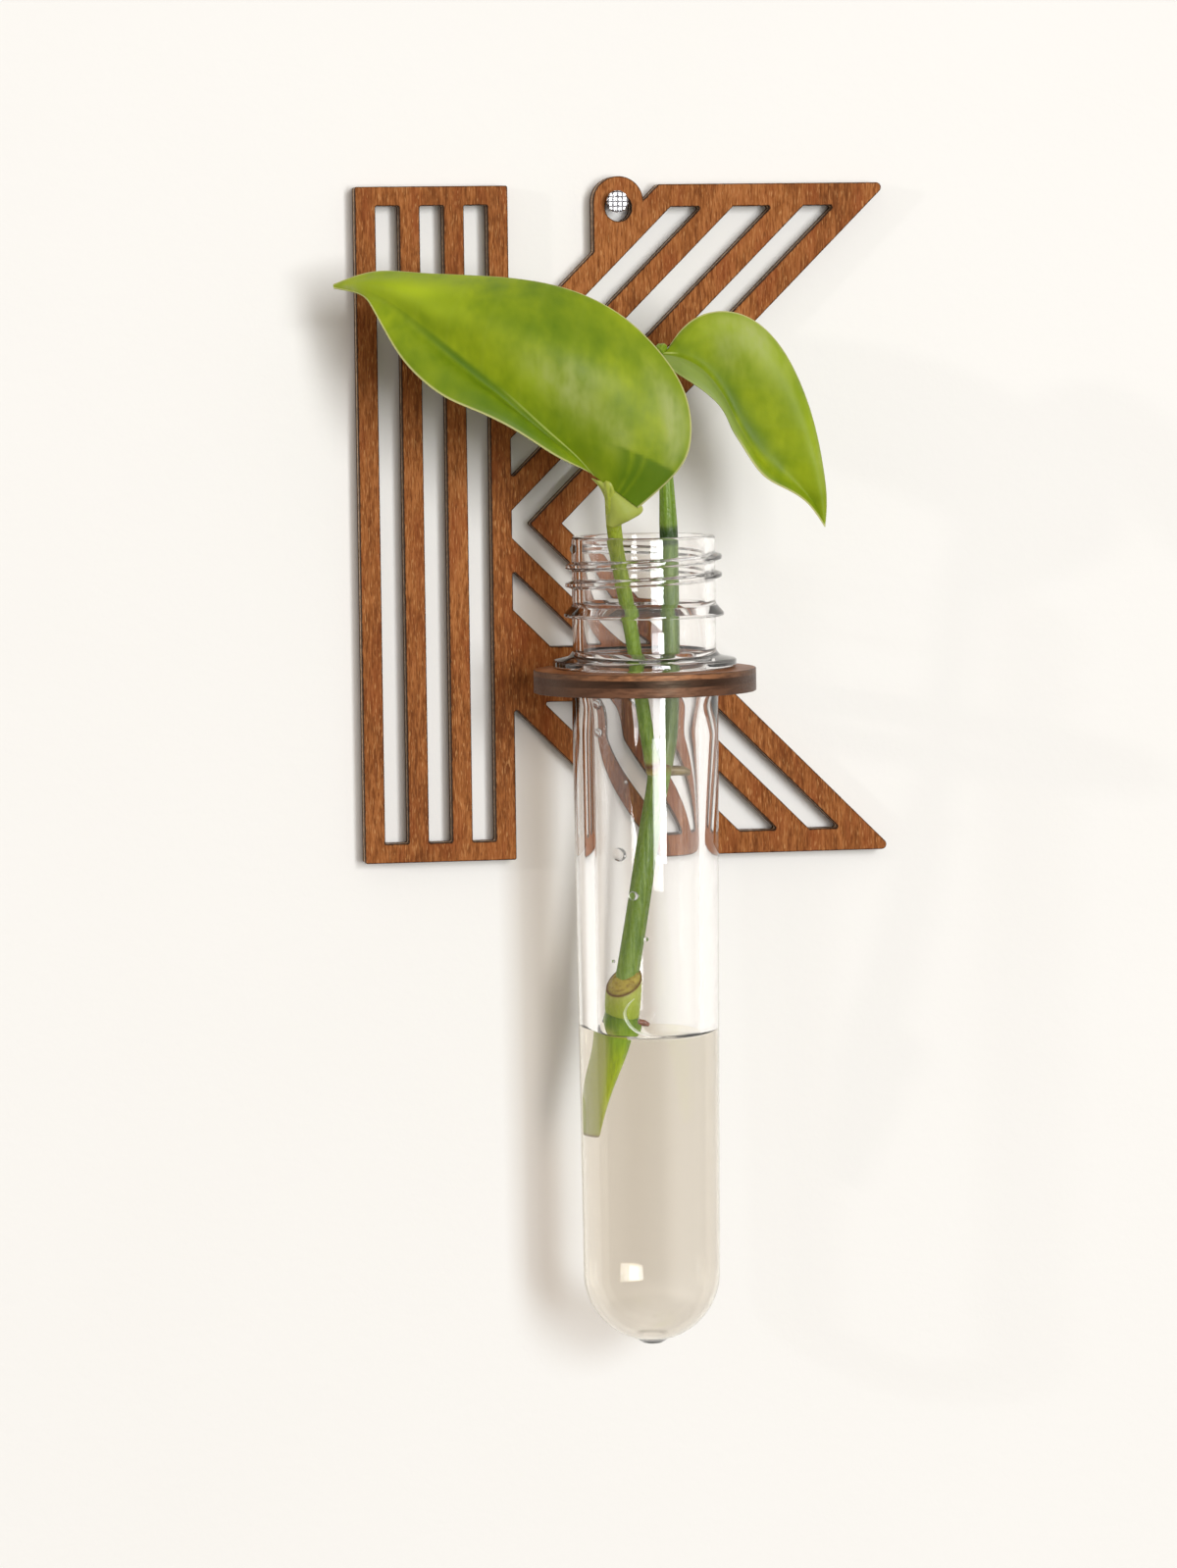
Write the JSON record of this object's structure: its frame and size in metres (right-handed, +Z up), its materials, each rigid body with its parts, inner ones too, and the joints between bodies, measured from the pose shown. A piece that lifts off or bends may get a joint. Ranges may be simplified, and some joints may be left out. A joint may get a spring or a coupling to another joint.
{
  "type": "propagation station",
  "caption": "Wall-hung propagation station: striped plywood letter on a nail, with a ring that holds a clear threaded tube of water and a leafy cutting.",
  "frame": {"origin": "on the nail's axis where it leaves the wall, which is also the plane of the letter's back", "axes": "+X to the viewer's right, +Y into the wall, +Z up"},
  "size_m": [0.1013, 0.0592, 0.2061],
  "materials": {
    "steel": "bright steel with a cross-hatched head",
    "plywood": "stained birch plywood with dark laser-cut edges",
    "clear_plastic": "clear moulded plastic",
    "water": "clear water",
    "stem": "green stem, slightly glossy",
    "leaf": "waxy yellow-green leaf",
    "root": "brown corky root nub"
  },
  "bodies": {
    "nail": {"wall_nail": "steel"},
    "panel": {"letter_panel": "plywood", "ring_shelf": "plywood"},
    "tube": {"preform_tube": "clear_plastic", "water": "water"},
    "cutting": {"cutting_stem": "stem", "petiole_large": "stem", "leaf_large": "leaf", "shoot_small": "stem", "leaf_small": "leaf", "root_nub_upper": "root", "root_nub_lower": "root"}
  },
  "joints": [
    {"name": "panel_swing", "type": "hinge", "parent": "nail", "child": "panel", "pos_m": [0, 0, 0], "axis": [0, 1, 0], "range_deg": [-20, 20]},
    {"name": "tube_lift", "type": "slide", "parent": "panel", "child": "tube", "axis": [0, 0, 1], "range_m": [0, 0.125]},
    {"name": "cutting_lift", "type": "slide", "parent": "tube", "child": "cutting", "axis": [0, 0, 1], "range_m": [0, 0.11], "deforming": ["water"]}
  ]
}
